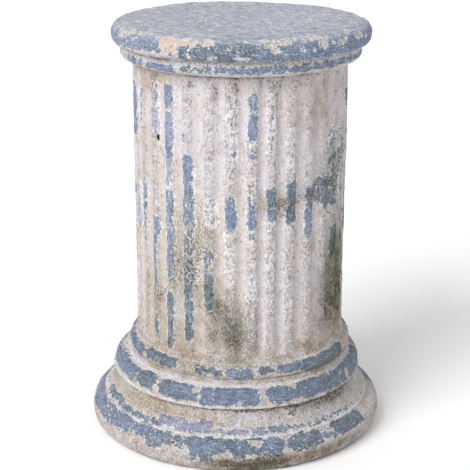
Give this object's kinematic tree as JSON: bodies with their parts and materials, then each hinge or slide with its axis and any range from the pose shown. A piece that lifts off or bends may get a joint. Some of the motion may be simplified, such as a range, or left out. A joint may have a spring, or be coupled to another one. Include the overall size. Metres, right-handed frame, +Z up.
{
  "type": "decorative garden column",
  "caption": "Short round fluted column with moulded foot, neck ring and flat round cap, made to stand alone and carry a pot, bust or lamp.",
  "frame": {"origin": "centre of the foot's flat underside", "axes": "+Z up along the column, front towards -Y, +X to the viewer's right"},
  "size_m": [0.4108, 0.4108, 0.57],
  "materials": {
    "painted_terracotta": "matt weathered limewash over terracotta, with worn blue-grey paint left on the raised parts"
  },
  "bodies": {
    "root": {"column": "painted_terracotta"}
  },
  "joints": []
}
